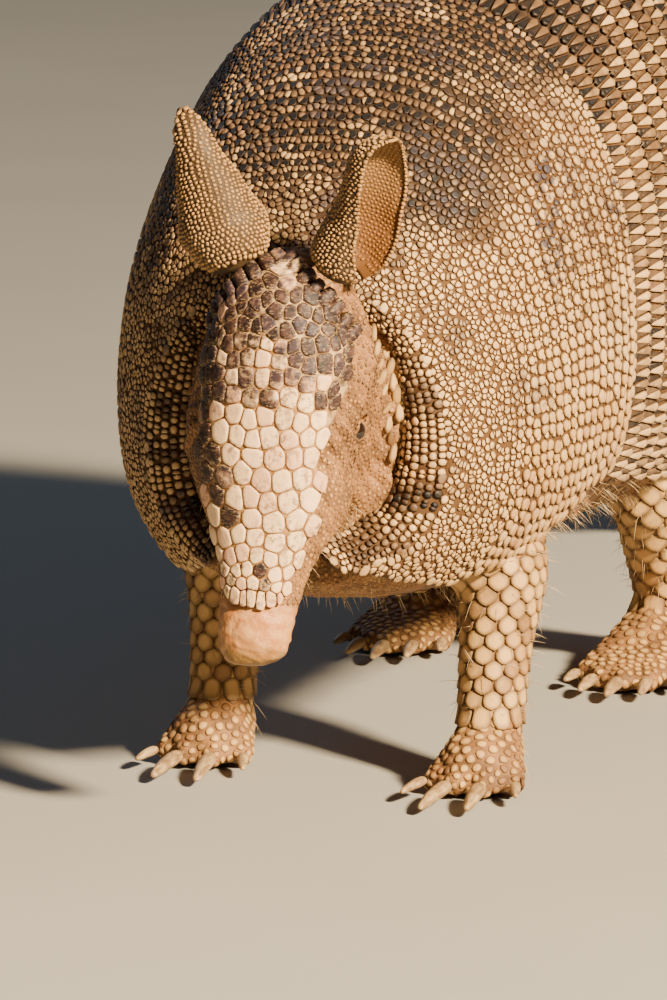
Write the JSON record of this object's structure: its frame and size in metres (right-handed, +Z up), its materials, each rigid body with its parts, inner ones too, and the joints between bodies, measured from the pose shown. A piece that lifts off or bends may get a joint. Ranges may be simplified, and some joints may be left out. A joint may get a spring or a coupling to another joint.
{
  "type": "nine-banded armadillo model",
  "caption": "Life-size armadillo standing on four clawed feet, head lowered, banded horny shell over its back, long ringed tail laid on the ground.",
  "frame": {"origin": "middle of the footprint's bounding box, on the floor the feet stand on", "axes": "+Z up, the animal faces -Y, its left side is +X"},
  "size_m": [0.1468, 0.6228, 0.2107],
  "materials": {
    "shell": "horny scales in a tessellation, tan to grey-brown with cream scale centres",
    "skin": "bare wrinkled skin with small horny scales, warm tan",
    "face_plates": "cream-white horny plates with dark brown staining over the crown",
    "ear": "granular tan skin, amber inside",
    "tail": "rings of horny scales, grey-brown",
    "claw": "smooth horn, semi-gloss",
    "eye": "wet black gloss"
  },
  "bodies": {
    "root": {"trunk": "skin", "shoulder_shield": "shell", "band_1": "shell", "band_2": "shell", "band_3": "shell", "band_4": "shell", "band_5": "shell", "band_6": "shell", "band_7": "shell", "band_8": "shell", "band_9": "shell", "rump_shield": "shell", "head": "skin", "head_shield": "face_plates", "neck": "skin", "eye_left": "eye", "ear_left": "ear", "eye_right": "eye", "ear_right": "ear", "foreleg_left": "skin", "forefoot_left": "skin", "foreclaw_left_1": "claw", "foreclaw_left_2": "claw", "foreclaw_left_3": "claw", "foreclaw_left_4": "claw", "hindleg_left": "skin", "hindfoot_left": "skin", "hindclaw_left_1": "claw", "hindclaw_left_2": "claw", "hindclaw_left_3": "claw", "hindclaw_left_4": "claw", "hindclaw_left_5": "claw", "foreleg_right": "skin", "forefoot_right": "skin", "foreclaw_right_1": "claw", "foreclaw_right_2": "claw", "foreclaw_right_3": "claw", "foreclaw_right_4": "claw", "hindleg_right": "skin", "hindfoot_right": "skin", "hindclaw_right_1": "claw", "hindclaw_right_2": "claw", "hindclaw_right_3": "claw", "hindclaw_right_4": "claw", "hindclaw_right_5": "claw", "tail_root": "tail", "tail_middle": "tail", "tail_tip": "tail"}
  },
  "joints": []
}
